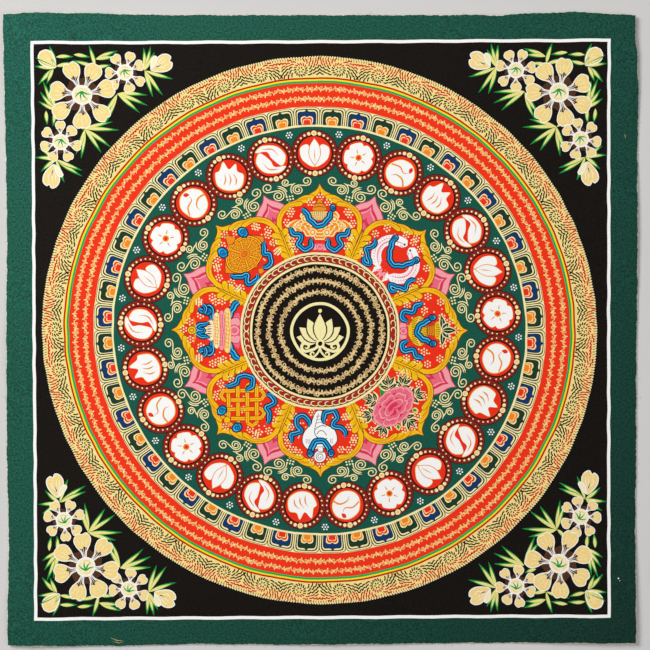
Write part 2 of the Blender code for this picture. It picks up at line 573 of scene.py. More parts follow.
def vine_sprig(own, kind, pigment, shade):
    """One of four small sprigs that stand on a running vine."""
    if kind == 0:
        own.line(tendril_path(-1.0, 0.2 + 1.0j, 0.85, 1.1), 0.38, pigment)
        own.at(0.9, -0.7).fill(leaf_shape(1.9, 1.0, -0.3), shade)
    elif kind == 1:
        for heading in (0.35, 1.57, 2.8):
            own.at(0, heading - UP).fill(leaf_shape(2.0, 0.95), pigment)
    elif kind == 2:
        for spoke in circle(5):
            own.disc(1.2j + 0.62 * spoke, 0.42, pigment, 6)
        own.at(-0.8, 0.9).fill(leaf_shape(1.6, 0.9), shade)
    else:
        own.line(tendril_path(1.2, -0.2 + 1.1j, 0.80, 1.1, -1), 0.38, pigment)
        own.at(-0.6, 0.8).fill(leaf_shape(1.9, 0.9, 0.3), pigment)


def running_vine(radius, pitch, size, pigment, shade, seed):
    """A thin waving stem with a sprig in each of its bends, all the way round the mandala."""
    waves = round(TAU * radius / (2 * pitch))
    angle = TAU * np.arange(waves * 8 + 1) / (waves * 8)
    mandala.line((radius + 0.85 * np.sin(waves * angle)) * np.exp(1j * angle), 0.48, pigment)
    chance = random.Random(seed)
    for k in range(2 * waves):
        turn = TAU * (k + 0.5) / (2 * waves)
        bend = -1 if k % 2 else 1
        scale = -bend * size * chance.uniform(1.0, 1.3)
        inner = facing_out(radius + 0.75 * bend, turn, scale, chance.random() < 0.5)
        vine_sprig(inner, chance.randrange(4), pigment, shade)
        outer = facing_out(radius + 0.8 * bend, turn + 0.5 / radius, bend * size * chance.uniform(0.8, 1.0))
        outer.at(0, chance.uniform(-0.7, 0.7)).fill(leaf_shape(1.6, 0.9), shade)


def frieze_dome(half, height, tip=0.0):
    side = [0.22 + 1j, 0.78 + 0.98j, 1 + 0.80j, 1 + 0.4j, 0.96]
    return even([1j * (height + tip), *stretched(side, half, height)], 3)


FRIEZE_FRAME = (  # (half width, height, tip, pigment) of each outline, the last in the petal's own colour
    (8.3, 11.2, 0.0, "lamp_black"),
    (7.9, 10.9, 0.0, "cream"),
    (7.1, 10.1, 0.0, "lamp_black"),
    (6.4, 9.5, 0.0, "cream"),
    (5.9, 8.6, 1.9, "lamp_black"),
    (5.5, 8.2, 1.7, None),
)


def frieze_petal(own, body, heart):
    """One small lotus petal of the frieze, its foot inwards."""
    for half, height, tip, pigment in FRIEZE_FRAME:
        own.fill(frieze_dome(half, height, tip), pigment or body)
    lobes = [0.84j, 0.40 + 1j, 0.92 + 0.86j, 1 + 0.5j, 0.8]
    layers = ((4.3, 5.9, "lamp_black"), (4.0, 5.6, "cream"), (3.3, 4.9, heart), (2.6, 3.7, "cream"))
    for half, height, pigment in layers:
        own.fill(even(stretched(lobes, half, height), 3), pigment)
    own.fill(frieze_dome(2.1, 3.1), heart)


def draw_frieze():
    mandala.disc(0, FRIEZE_EDGE[1], "cream", RING_SIDES, "paint_frieze")
    for k in range(FRIEZE_COUNT):
        own = facing_out(FIELD_EDGE[1] + 0.2, TAU * (k + 0.5) / FRIEZE_COUNT)
        frieze_petal(own, *(("navy", "scarlet") if k % 2 else ("bottle_green", "orange")))


# ---- Roundels -----------------------------------------------------------------------------------
def lotus_bud_figure(own):
    for side in own.both_sides():
        side.fill(loop([0.4 - 7j, 6.4 - 3.4j, 7.6 + 2.6j, 3.6 + 4.4j, 2.0 - 0.4j]), "chalk")
    own.fill(even([7.8j, 2.8 + 3.6j, 3.1 - 1.4j, 0.6 - 6.2j]), "amber")
    own.fill(even([7.6j, 2.4 + 3.6j, 2.7 - 1.4j, 0.4 - 5.8j]), "chalk")
    own.line([-4.6j, -1.4j, 2.4j], 0.6, "amber", 0.3, 0.6)


def cloud_figure(own):
    cloud = [-7 - 2j, -5.4 + 4.4j, 0.6 + 7.2j, 6.2 + 4.4j, 7.2 - 1.6j, 2.4 - 6.8j, -4 - 6.4j]
    own.fill(loop(cloud), "chalk")
    own.line(curve([6.8 - 3.6j, 3.4 - 1.2j, -0.6 - 2.0j, -2.2 - 4.6j]), 0.9, "amber", 0.0, 0.6)
    own.line(curve([-6.8 - 0.6j, -3.0 + 1.8j, 1.0 + 1.4j, 2.8 + 3.8j]), 0.8, "amber", 0.0, 0.6)
    own.at(1.6 + 6.6j, -2.6).fill(leaf_shape(3.4, 2.2), "scarlet")


def twin_leaf_figure(own):
    outline = [0.6 + 0.4j, 4.4 - 4.6j, 7.8 - 0.4j, 5.2 + 5.4j, -1.6 + 7.8j, -6.2 + 5.6j, -0.6 + 4.4j]
    for turn in (0.0, math.pi):
        leaf = own.at(0, turn)
        leaf.fill(loop(outline), "chalk")
        leaf.line(curve([-2.6 + 6.2j, 2.4 + 4.8j, 4.6 + 0.4j]), 0.7, "amber", 0.3, 0.6)


def flower_figure(own):
    for spoke in circle(5) * 1j:
        petal = own.at(0, cmath.phase(spoke) - UP)
        petal.fill(even([7.8j, 3.2 + 7.0j, 3.6 + 3.2j, 0.9 + 0.2j]), "chalk")
    own.discs(0, (1.7, "amber", 12), (1.0, "scarlet", 8))
    for spoke in circle(5) * 1j:
        own.line([2.4 * spoke, 3.6 * spoke, 4.8 * spoke], 0.6, "amber", 0.0, 0.6)


def flame_figure(own):
    flames = [-5.6 - 5.6j, -7.2 + 0.4j, -4 + 2.6j, -3.4 + 6.4j, 0.2 + 3.6j, 2.6 + 7.6j, 5 + 3j,
              7.2 + 1.6j, 6.2 - 4.6j, 0.4 - 7.4j]
    own.fill(loop(flames), "chalk")
    for x in (-3.0, 0.2, 3.2):
        lick = curve([x - 4.8j, 0.9 * x - 0.8 - 1.6j, 0.7 * x + 0.4 + 1.6j])
        own.line(lick, 0.8, "amber", 0.3, 0.6)


FIGURES = (lotus_bud_figure, cloud_figure, twin_leaf_figure, flower_figure, flame_figure)


def beads(own, radius):
    """Two strings of beads, each with a large one in its middle and small ones at its ends."""
    sizes = (1.75, 1.15, 0.80, 0.66, 0.58, 0.54, 0.50)
    for middle in (UP, -UP):
        for k in range(-6, 7):
            place = turned(middle + 0.232 * k + 0.03 * np.sign(k), radius)
            own.disc(place, sizes[abs(k)], "cream", 9)
        own.disc(turned(middle, radius), 1.0, "rose_gold", 8)


def taken_back(before):
    """Takes back the shapes drawn since before, so that others can go under them."""
    drawn = shapes[before:]
    del shapes[before:]
    return drawn


def roundel(own, figure, turn, flip):
    """A ring of beads round a red ground with a pale figure."""
    own.discs(
        0,
        (ROUNDEL_SIZE + 0.6, "lamp_black", 44),
        (ROUNDEL_SIZE + 0.2, "maroon", 44),
        (11.5, "lamp_black", 40),
        (10.7, "scarlet", 40),
    )
    before = len(shapes)
    figure(own.at(0, turn, 1.2, flip))
    tint_edge(before)
    beads(own, ROUNDEL_BEADS)


def tint_edge(before):
    """Lays a warm rim of two tones under each pale shape drawn since before."""
    drawn = taken_back(before)
    for size, tone in ((1.07, "amber"), (1.03, "petal")):
        for points, pigment, part in drawn:
            if pigment == "chalk":
                middle = points.mean()
                shapes.append((middle + (points - middle) * size, tone, part))
    shapes.extend(drawn)


def draw_roundels():
    mandala.disc(0, FIELD_EDGE[1], "cream", RING_SIDES, "paint_roundels")
    mandala.disc(0, FIELD_EDGE[0], "field_green", RING_SIDES)
    start = math.radians(ROUNDEL_START)
    for k in range(ROUNDEL_COUNT):
        between = start - TAU * (k + 0.5) / ROUNDEL_COUNT
        rosette(facing_out(ROSETTE_RADIUS, between), 0, 1.7, 0.55, "chalk")
    for k in range(ROUNDEL_COUNT):
        own = facing_out(ROUNDEL_RADIUS, start - TAU * k / ROUNDEL_COUNT)
        roundel(own, FIGURES[k * 3 % 5], 0.5 * math.sin(2.1 * k), k % 2 == 1)


def winding(centre, radius, start, turns):
    """A slightly flattened spiral, from its rim at a heading (in degrees) to its middle."""
    t = np.linspace(0, 1, round(11 * turns))
    angle = math.radians(start) + TAU * turns * t
    return centre + radius * (1 - 0.84 * t**1.3) * (np.cos(angle) + 0.88j * np.sin(angle))


def scroll_pair(near, near_radius, far, far_radius):
    """An S-shaped scroll: a spiral that runs over into another one."""
    return np.concatenate([winding(far, far_radius, -105, 1.5)[::-1], winding(near, near_radius, 75, 2.0)])


def scroll_bouquet(own):
    """Thin scrolls that spring from a cluster of dots between two petal tips."""
    other = own.at(0, flip=True)
    echo = np.exp(1j * np.radians(np.linspace(95, 200, 7)))
    strokes = (
        (own, scroll_pair(6.8 + 3.2j, 3.9, 12.2 + 9.4j, 3.4)),
        (own, 6.8 + 3.2j + 5.0 * echo),
        (own, 6.8 + 3.2j + 6.1 * echo[:5]),
        (other, scroll_pair(6.2 + 4.8j, 3.4, 12.8 + 9.0j, 3.1)),
        (other, 6.2 + 4.8j + 4.5 * echo),
        (own, np.concatenate([[-4.6 + 8.6j, -3.2 + 8.9j], winding(0.4 + 10.6j, 2.6, -130, 1.7)])),
    )
    for width, pigment in ((1.30, "bottle_green"), (0.68, "cream")):
        for brush, path in strokes:
            brush.line(path, width, pigment, 0.05)
    for row, count in ((1.6, 3), (-0.2, 3), (-2.0, 2), (-3.6, 1)):
        for k in range(count):
            own.disc(1.85 * (k - (count - 1) / 2) + row * 1j, 0.62, "cream", 8)


# ---- The lotus ----------------------------------------------------------------------------------
# A petal's rim, outside and inside: its right half from the tip down, at across + radius * 1j.
PETAL_OUTER = (92.6j, 2.6 + 88.4j, 10.6 + 84.6j, 18.6 + 82.2j, 24.2 + 78.0j, 27.0 + 73.0j, 28.8 + 67.6j,
               29.6 + 58.0j, 29.8 + 49.0j)
PETAL_INNER = (87.6j, 2.4 + 84.6j, 7.0 + 81.4j, 14.0 + 79.8j, 19.6 + 77.4j, 23.2 + 73.2j, 24.8 + 67.4j,
               23.6 + 58.0j, 22.4 + 49.0j)
PETAL_CURLS = (  # tail, bend and head of each flame along the inner edge of the petal's rim
    (13.4 + 83.2j, 8.4 + 84.9j, 4.3 + 84.6j),
    (21.4 + 78.2j, 16.4 + 80.9j, 10.8 + 81.0j),
)
FEATHER_RADII = (65.6, 61.2, 56.8, 52.4)
KNOT_STEP = 5.9  # from one cord of the knot to the next


def petal_frame(axis):
    """A brush whose x runs round the mandala, clockwise from a petal's axis, and y is the radius."""

    def put(points):
        return warp(points.imag * np.exp(1j * (axis - points.real / PETAL_ARC)))

    return Brush(put)


def back_petal(own):
    """The pink petal that shows between two front petals."""
    petal = even([25.6j, 2.0 + 21.6j, 6.2 + 18.0j, 9.8 + 13.4j, 11.6 + 7.0j, 11.0 - 2.0j])
    for size, pigment in ((1.03, "carmine"), (1.0, "blush"), (0.82, "carmine"), (0.73, "blush"),
                          (0.68, "rose"), (0.46, "carmine"), (0.34, "rose")):
        own.fill(66j + size * petal, pigment, "paint_lotus")


def front_petal(own):
    """A petal with a golden rim of flames and feathers round a red ground."""
    outer = np.array(PETAL_OUTER)
    inner = np.array(PETAL_INNER)
    rim = even(outer, 5)
    ground = even(inner, 5)
    own.fill(rim, "orpiment", "paint_lotus")
    own.line(rim, 0.40, "oxblood")
    for side in own.both_sides():
        side.line(curve(0.5 * (outer + inner)[2:6] + 0.5j, 5), 0.9, "amber", 0.4, 0.4)
    own.line(ground, 0.5, "oxblood")
    own.fill(ground, "scarlet", "paint_symbols")
    own.line([91.2j, 88.6j, 86.2j], 0.5, "scarlet", 0.8)
    for side in own.both_sides():
        for tail, bend, head in PETAL_CURLS:
            side.comma(curve([tail, bend, head], 5), 2.6, "orpiment", "oxblood", 0.32)
            side.line(curve([tail, bend - 0.3j, head - 0.2j]), 0.5, "amber", 0.4, 0.3)
        for y in FEATHER_RADII:
            path = curve([complex(27.8, y - 6.4), complex(26.6, y - 1.4), complex(23.4, y + 0.8)], 5)
            side.comma(path, 3.5, "orpiment", "oxblood", 0.32)
            side.line(path[3:-1] + 0.3 + 0.2j, 0.45, "amber", 0.4, 0.4)
        side.line([28.0 + 49j, 28.0 + 56j, 28.0 + 63j, 28.0 + 70j], 0.45, "oxblood")


def parasol(own):
    """A silk parasol: gold finial, clouds of orange silk and a hanging frill."""
    cloud = even([7.4j, 5.4 + 6.8j, 9.6 + 7.6j, 12.4 + 4.2j, 11.6 + 1.8j, 16.4 + 1.2j, 21.4 - 3.0j,
                  17.0 - 3.4j, 15.6 - 6.2j, 10.8 - 5.6j, 8.6 - 8.6j, 4.4 - 8.4j, 2.8 - 10.6j], 3)
    for size, pigment in ((1.0, "cream"), (0.93, "orange"), (0.80, "cream"), (0.74, "amber"),
                          (0.60, "cream"), (0.54, "orange"), (0.40, "cream"), (0.33, "scarlet")):
        own.fill(size * cloud - 0.6j, pigment)
    for side in own.both_sides():
        for size, pigment in ((2.4, "cream"), (1.8, "orange"), (1.0, "cream")):
            for puff, share in ((9.2 + 1.6j, 1.0), (13.6 - 2.6j, 0.8), (4.6 - 6.6j, 1.0)):
                side.disc(puff, share * size, pigment, 12)
    for x in np.linspace(-3.4, 3.4, 6):
        own.lines([x * 0.7 + 1.2j, x + 5.2j, x * 0.8 + 7.6j], (1.0, "petal"), (0.25, "umber"))
    own.outlined(loop([-4.4 + 7.2j, -2.4 + 11.4j, 14.6j, 2.4 + 11.4j, 4.4 + 7.2j]), "amber", "umber", 0.3)
    own.line([-3.2 + 9.0j, 9.8j, 3.2 + 9.0j], 0.4, "umber")
    own.line([-2.2 + 11.2j, 11.8j, 2.2 + 11.2j], 0.4, "umber")
    lotus_seat(own, -15.4j, 11)
    scarf(own, [-11.6 + 7.6j, -8.4 + 6.0j, -6.0 + 1.2j, -0.8 - 2.4j, 4.8 + 1.4j, 8.0 + 7.4j], 2.8)
    bow(own, 8.4 + 8.6j, 0.62)
    tail = [18.6 - 3.4j, 17.4 - 7.6j, 11.6 - 9.4j, 13.4 - 14.4j, 9.6 - 17.6j, 5.6 - 15.6j, 5.4 - 9.6j]
    for side in own.both_sides():
        scarf(side, tail)
    return -18.6 + 4.4j, 18.6 + 4.4j, -15.6 - 17.4j, 16.4 - 15.6j, -17.4 - 12.4j, 19.4 - 9.4j


def golden_fish(own):
    """Two pale fish, nose to nose, curved into a ring."""
    own.disc(-3.4j, 9.2, "scarlet", 30)
    turn = np.linspace(1.50, -1.30, 22)
    body = 13.4 * np.cos(turn) + 1j * (11.0 * np.sin(turn) - 3.2)
    for side in own.both_sides():
        side.line(body, 7.0, "carmine", 0.05, 0.10)
        side.line(body, 6.2, "chalk", 0.05, 0.10)
        side.line(body * 0.94 - 0.2j, 1.0, "blush", 0.2, 0.3)
        for spine in body[4:20]:
            out = (spine + 3.2j) / abs(spine + 3.2j)
            for near, far in ((-2.4, -0.6), (0.6, 2.6)):
                middle = spine + (near + far) / 2 * out + 0.3j * out
                side.line([spine + near * out, middle, spine + far * out], 0.26, "rose")
        side.line(body[4:18] * 1.08 + 0.2j, 0.3, "rose", 0.2, 0.2)
        side.line([2.0 - 13.6j, 4.4 - 16.4j, 4.0 - 19.4j], 3.0, "chalk", 0.0, 0.3)
        side.line([2.0 - 13.6j, 0.4 - 16.6j, 1.2 - 19.0j], 1.8, "blush", 0.0, 0.3)
        for x in (1.6, 2.6, 3.6):
            side.line([1.6 - 13.4j, (x + 1.6) / 1.4 - 16.4j, x - 18.6j], 0.26, "rose")
        side.disc(2.6 + 7.2j, 0.7, "indigo", 8)
        side.line([1.0 + 4.6j, 2.4 + 5.2j, 4.2 + 4.8j], 0.4, "carmine")
        tail = [18.6 - 2.6j, 15.8 - 7.4j, 17.8 - 11.6j, 13.2 - 14.6j, 8.8 - 17.2j, 12.8 - 18.6j, 15.2 - 16.0j]
        scarf(side, tail, 2.3)
        bow(side, 9.6 + 5.6j, 0.66)
    swag = [-10.4 + 5.4j, -8.4 + 1.6j, -5.0 - 3.6j, 0.2 - 6.6j, 5.4 - 3.6j, 8.2 + 1.6j, 9.8 + 5.4j]
    scarf(own, swag, 2.7)
    return 12.6j, 1.6 + 1.4j, -2.2 - 1.8j, 0.8 - 10.8j


def treasure_vase(own):
    """A gold vase with leaves in its mouth."""
    belly = even([-1.6j, 4.6 - 1.8j, 9.4 - 5.4j, 8.0 - 10.4j, 2.8 - 13.8j])
    own.outlined(belly, "orpiment", "umber", 0.35)
    for x in np.linspace(-8.4, 8.4, 13):
        own.line([0.66 * x - 2.0j, 1.06 * x - 6.2j, 0.72 * x - 11.6j], 0.34, "umber")
        own.disc(x - (8.6 - 0.03 * x * x) * 1j, 0.62, "petal", 7)
    own.line([-8.6 - 4.8j, -6.4j, 8.6 - 4.8j], 0.9, "amber")
    own.outlined([-2.8 - 2j, 2.8 - 2j, 3.4 + 3.6j, -3.4 + 3.6j], "amber", "umber", 0.3)
    for y in np.linspace(-1.4, 3.0, 5):
        own.line([-3.0 + y * 1j, (y - 0.3) * 1j, 3.0 + y * 1j], 0.32, "umber")
    lip = loop([-4.8 + 3.2j, -5.4 + 6.6j, 7.6j, 5.4 + 6.6j, 4.8 + 3.2j, 2.8j])
    own.outlined(lip, "orpiment", "umber", 0.3)
    for x in np.linspace(-4.2, 4.2, 8):
        own.line([0.9 * x + 3.6j, x + 6.6j], 0.32, "umber")
    for heading, length, bend in ((-72, 9.0, 3.4), (72, 9.0, -3.4), (-34, 6.0, 1.6), (34, 6.0, -1.6),
                                  (0, 8.8, 0.0)):
        blade = own.at(7.4j, math.radians(heading))
        blade.fill(leaf_shape(length + 1.2, 5.0, bend) - 0.4j, "cream")
        blade.fill(leaf_shape(length, 3.6, bend) + 0.1j, "bottle_green")
        blade.line([0.6j, 0.2 * bend + length * 0.4j, 0.6 * bend + length * 0.75j], 0.28, "cream")
    lotus_seat(own, -16.4j, 12)
    scarf(own, [-7.6 + 1.0j, -5.8 - 1.8j, -3.6 - 6.0j, 0.2 - 8.2j, 4.0 - 6.0j, 6.2 - 1.8j, 8.2 + 1.0j], 2.8)
    for side in own.both_sides():
        bow(side, 8.0 + 1.6j, 0.66)
        scarf(side, [17.0 - 3.8j, 15.8 - 8.8j, 11.6 - 11.2j, 12.8 - 15.6j, 9.0 - 18.0j, 5.6 - 13.6j], 2.6)
    return -12.4 - 3.6j, 12.8 - 4.0j, -8.6 + 7.4j, 8.8 + 7.4j


LEAF_LOBES = (  # a peony leaf's lobes: how far each leans, and its start and length as shares of the leaf
    (1.1, 0.15, 0.60),
    (-1.1, 0.15, 0.60),
    (0.75, 0.38, 0.62),
    (-0.75, 0.38, 0.62),
    (0.0, 0.30, 0.75),
)


def peony_leaf(brush, root, heading, length):
    """A dark lobed leaf with a pale edge."""
    own = brush.at(root, math.radians(heading))
    for grow, width, pigment in ((0.9, 3.6, "cream"), (0.0, 2.3, "bottle_green")):
        for lean, start, share in LEAF_LOBES:
            lobe = own.at(1j * (start * length - 0.5 * grow), lean)
            lobe.fill(leaf_shape(share * length + grow, width), pigment)
    own.line([0.5j, 0.4j * length, 0.9j * length], 0.28, "cream")
    for lean, start, share in LEAF_LOBES[:4]:
        vein = [0, 0.3j * share * length, 0.6j * share * length]
        own.at(1j * start * length, lean).line(vein, 0.24, "cream")


def peony(own):
    """A pink peony among dark leaves."""
    own.line([-4.2 - 19j, -1.0 - 14.4j, 3.0 - 10j], 2.8, "emerald")
    own.line([3.6 - 10.6j, -0.6 - 14.6j, -3.4 - 19j], 1.4, "emerald")
    for root, heading, length in ((6.0j, 0, 10.0), (10.6 + 0.4j, -66, 9.6), (-10.6 + 0.4j, 66, 9.8),
                                  (10.8 - 7.6j, -112, 9.0), (-10.2 - 7.6j, 112, 9.4),
                                  (5.0 - 12.0j, -146, 9.4), (-4.4 - 11.6j, 142, 10.2)):
        peony_leaf(own, root, heading, length)
    for side in own.both_sides():
        side.at(6.6 + 6.6j, -0.5).fill(leaf_shape(4.4, 3.4), "leaf")
        side.at(6.7 + 7.0j, -0.5).fill(leaf_shape(3.0, 1.9), "emerald")
    bloom = Brush(lambda points: own.put(1.1 * points.real + 0.76j * points.imag + 0.6 - 2.8j))
    for ring, (count, reach, length, width) in enumerate(((8, 5.4, 7.8, 9.4), (5, 2.0, 7.2, 8.6))):
        petal = even(stretched([0.96j, 0.30 + 1j, 0.52 + 0.7j, 0.3], width, length), 3)
        for k in range(count):
            turn = TAU * (k + 0.5 * ring) / count
            part = bloom.at(turned(turn + UP, reach), turn)
            part.fill(petal * 1.09 - 0.2j, "carmine")
            part.fills(petal, (1.03, "blush"), (0.88, "rose"), (0.58, "carmine"))
    heart = even([1.4j, 2.4 + 3.0j, 5.8 + 2.4j, 5.6 - 1.0j, 2.6 - 3.4j, 0.6 - 4.0j], 3)
    bloom.fills(heart, (1.16, "carmine"), (1.1, "blush"), (0.94, "rose"))
    bloom.fill(heart * 0.55 - 0.6j, "carmine")
    return -19.2 - 12.6j, 19.0 - 12.8j


def conch(own):
    """A white conch shell, its spire up and its lip curling round."""
    body = loop([-1.6 - 17.8j, -2.4 - 10.4j, -9.0 - 6.8j, -10.6 + 0.4j, -6.6 + 4.8j, 0.4 + 5.6j,
                 7.2 + 6.4j, 11.0 + 2.2j, 10.6 - 4.2j, 6.4 - 10.0j, 2.8 - 17.8j])
    own.outlined(body, "chalk", "lamp_black", 0.45)
    own.discs(0.4 + 10.6j, (4.1, "lamp_black", 20), (3.7, "chalk", 20))
    own.line(tendril_path(-2.4 + 7.6j, 0.4 + 10.8j, 2.6, 1.8), 0.35, "lamp_black")
    own.outlined([-1.6 + 4.6j, 2.0 + 4.6j, 1.6 + 7.4j, -1.4 + 7.4j], "chalk", "lamp_black", 0.35)
    for width, fold in (
        (0.45, (-4.6 - 0.8j, -1.2 - 0.4j, 2.4 - 2.2j, 3.4 - 6.2j, -0.6 - 8.8j, -3.8 - 8.4j)),
        (0.40, (2.0 - 3.4j, 0.4 - 5.4j, -2.2 - 5.4j, -4.2 - 2.8j)),
        (0.35, (3.6 - 6.6j, 2.6 - 11.6j, 1.2 - 16.6j)),
    ):
        own.line(curve(fold), width, "lamp_black")
    for y in (-10.4, -12.4, -14.4):
        own.line([-1.6 + y * 1j, 0.4 + (y - 0.7) * 1j, 2.6 + y * 1j], 0.28, "lamp_black")
    for x in (-7.6, -6.6, 6.4, 7.5, 8.6):
        own.line([x - 0.2 + 2.4j, x + 0.3 + 0.9j, x - 0.6j], 0.26, "lamp_black")
    scarf(own, [-5.6 + 8.4j, -3.6 + 2.6j, 0.8 + 0.6j, 4.6 + 3.2j, 6.4 + 9.6j], 2.8)
    for side in own.both_sides():
        bow(side, 6.6 + 8.6j, 0.68)
    scarf(own, [-16.0 - 1.6j, -14.6 - 7.2j, -7.8 - 9.2j, -10.4 - 14.0j, -8.4 - 18.4j, -2.8 - 16.6j,
                -1.8 - 9.6j])
    scarf(own, [17.6 + 2.6j, 18.2 - 3.4j, 12.4 - 5.4j, 15.4 - 10.6j, 13.2 - 15.4j, 8.4 - 13.6j, 6.8 - 8.2j])
    return -12.6 + 6.6j, 13.6 + 7.6j, -20.6 + 1.6j, 20.4 + 2.6j, -15.6 - 14.8j, 5.6 - 17.0j


def endless_knot(own):
    """A woven knot of gold cord without an end."""
    knot = own.at(2.0 - 1.6j, UP / 2)
    rows = [share * KNOT_STEP for share in (-1.5, -0.5, 0.5, 1.5)]
    reach = 2.0 * KNOT_STEP
    runs = [[complex(-reach, y), complex(0, y), complex(reach, y)] for y in rows]
    for side in (reach, -reach):
        for low, high in (rows[:2], rows[2:]):
            runs.append([complex(side, low), complex(side * 1.16, (low + high) / 2), complex(side, high)])
    for run in runs:
        for path in (run, [complex(p.imag, p.real) for p in run]):
            knot.lines(path, (3.0, "brick"), (2.2, "orpiment"), (0.6, "amber"))
    for i, x in enumerate(rows):
        for j, y in enumerate(rows):
            here = complex(x, y)
            way = 1 if (i + j) % 2 else 1j
            for half, width, pigment in ((1.7, 3.0, "brick"), (2.0, 2.2, "orpiment"), (2.0, 0.6, "amber")):
                knot.line([here - half * way, here, here + half * way], width, pigment)
    jewel = even([11.6j, 2.0 + 9.4j, 1.8 + 7.6j, 0.4 + 6.6j])
    own.at(2.0 + 3.4j).outlined(jewel, "orpiment", "brick", 0.4)
    bow(own, 8.4 + 10.2j, 0.95)
    bow(own, -5.6 + 11.2j, 0.95, True)
    scarf(own, [-18.4 - 3.4j, -14.6 - 8.8j, -10.0 - 11.0j, -11.6 - 16.0j, -7.6 - 18.4j, -3.6 - 16.2j])
    scarf(own, [18.2 - 2.2j, 14.4 - 8.0j, 15.6 - 13.4j, 10.2 - 18.0j, 6.2 - 14.8j, 6.8 - 8.6j])
    return -17.6 + 4.4j, 17.4 + 4.6j, 0j, -12.6 + 6.0j, 17.6 - 0.4j, 0.8 - 18.4j


def banner_tier(own, y, half, high, body, seam, pleat):
    """One tier of the banner's silk, with two seams round it and nine pleats."""
    top = y + high / 2
    low = y - high / 2
    rim = [complex(-half - 0.6, low), complex(-half, top), complex(0, top + 0.5), complex(half, top),
           complex(half + 0.6, low), complex(0, low - 0.6)]
    own.outlined(loop(rim), body, seam, 0.35)
    for level in (y - 0.25 * high, y + 0.25 * high):
        waves = zip((-1, -0.5, 0, 0.5, 1), (0, 0.3, -0.4, 0.3, 0))
        path = [complex(share * half, level + rise) for share, rise in waves]
        own.line(curve(path), 0.42, seam, 0.1, 0.1)
    for x in np.linspace(-0.85 * half, 0.85 * half, 9):
        path = [complex(x - 0.4, y - 0.4 * high), complex(x, y), complex(x + 0.6, y + 0.4 * high)]
        own.line(path, 0.42, pleat)


def victory_banner(own):
    """A round banner of stacked silk tiers under a gold finial."""
    lotus_seat(own, -15.2j, 18)
    for side in own.both_sides():
        scarf(side, [18.6 - 18.2j, 13.6 - 14.4j, 7.0 - 11.6j], 3.2)
        scarf(side, [13.4 + 7.2j, 12.2 + 2.8j, 15.0 + 0.2j, 11.4 - 1.8j, 6.0 - 0.6j], 2.6)
        bow(side, 11.6 + 0.8j, 0.8)
        scarf(side, [16.2 + 4.2j, 13.8 + 2.0j, 10.6 + 3.4j], 1.9)
    banner_tier(own, -11.2, 12.2, 3.4, "petal", "amber", "orange")
    banner_tier(own, -7.6, 10.8, 2.8, "blush", "carmine", "rose")
    banner_tier(own, -4.4, 9.6, 3.0, "cream", "amber", "orange")
    crown = loop([-5.8 - 2.4j, -4.8 + 2.2j, -2.4 + 4.6j, 2.4 + 4.6j, 4.8 + 2.2j, 5.8 - 2.4j], 3)
    own.outlined(crown, "ivory", "amber", 0.35)
    for x, pigment in ((-3.8, "orange"), (-2.2, "indigo"), (-0.6, "scarlet"), (1.0, "bottle_green"),
                       (2.6, "orange"), (4.0, "indigo")):
        own.line([x - 2.0j, 0.9 * x + 0.2j, 0.8 * x + 2.4j], 0.8, pigment, 0.2, 0.4)
    scarf(own, [-4.4 - 0.6j, -3.4 + 5.2j, -1.6 + 8.0j, 3.8j, 1.8 + 8.0j, 3.6 + 5.2j, 4.6 - 0.6j], 2.2)
    own.line([-8.6 + 9.8j, -4.0 + 9.0j, 9.6j, 4.0 + 9.0j, 8.6 + 9.8j], 1.6, "amber", 0.3, 0.3)
    own.discs(11.0j, (2.9, "umber", 16), (2.5, "orpiment", 16), (1.5, "umber", 12), (1.1, "orpiment", 10))
    return -17.4 + 6.6j, 17.8 + 6.2j, -18.6 - 5.4j, 18.2 - 4.4j, -9.6 + 5.8j, 9.8 + 5.6j


def wheel(own):
    """A gold wheel with eight spokes and a jewelled rim."""
    hub = Brush(lambda points: own.put(1.12 * points.real + 0.90j * points.imag - 1.8j))
    hub.outlined(mirrored([12.4j, 8.6 + 8.6j, 14.8 - 0.2j, 8.4 - 8.8j, -12.6j]), "amber", "oxblood", 0.4)
    hub.outlined(11.6 * circle(40), "amber", "brick", 0.4)
    for radius in (11.0, 9.8, 7.4, 5.6, 3.4):
        ring = closed(radius * circle(30))
        hub.line(ring, 0.55, "orpiment")
        hub.line(ring * 0.955, 0.30, "brick")
    for spoke in circle(24):
        hub.line([9.3 * spoke, 9.8 * spoke, 10.4 * spoke], 0.35, "brick")
    for spoke in circle(8) * turned(0.39):
        hub.lines([3.4 * spoke, 6.2 * spoke, 9.2 * spoke], (1.5, "brick"), (0.8, "orpiment"))
        hub.discs(7.2 * spoke * turned(0.39), (1.0, "brick", 8), (0.7, "orpiment", 8))
    hub.discs(0, (1.9, "brick", 12), (1.5, "orange", 12))
    hub.line(tendril_path(-1.6j, 0, 0.9, 1.2), 0.28, "brick")
    own.outlined(even([15.2j, 1.8 + 12.2j, 3.2 + 9.4j, 1.0 + 8.0j]), "amber", "oxblood", 0.3)
    own.outlined(even([-14.4j, 1.8 - 15.8j, 1.4 - 18.0j]), "amber", "oxblood", 0.3)
    for side in own.both_sides():
        bow(side, 8.8 + 8.4j)
    scarf(own, [-15.8 - 4.6j, -12.2 - 9.6j, -8.0 - 12.2j, -11.6 - 16.0j, -6.6 - 18.4j, -2.6 - 16.6j])
    scarf(own, [14.8 - 4.0j, 9.6 - 9.6j, 11.2 - 13.2j, 6.8 - 17.6j, 2.2 - 15.4j])
    return -18.0 + 3.2j, 17.4 + 4.6j, -14.0 + 7.6j, 18.8 - 3.6j, -17.6 - 13.6j, 15.6 - 14.2j


SYMBOLS = (parasol, golden_fish, treasure_vase, peony, conch, endless_knot, victory_banner, wheel)


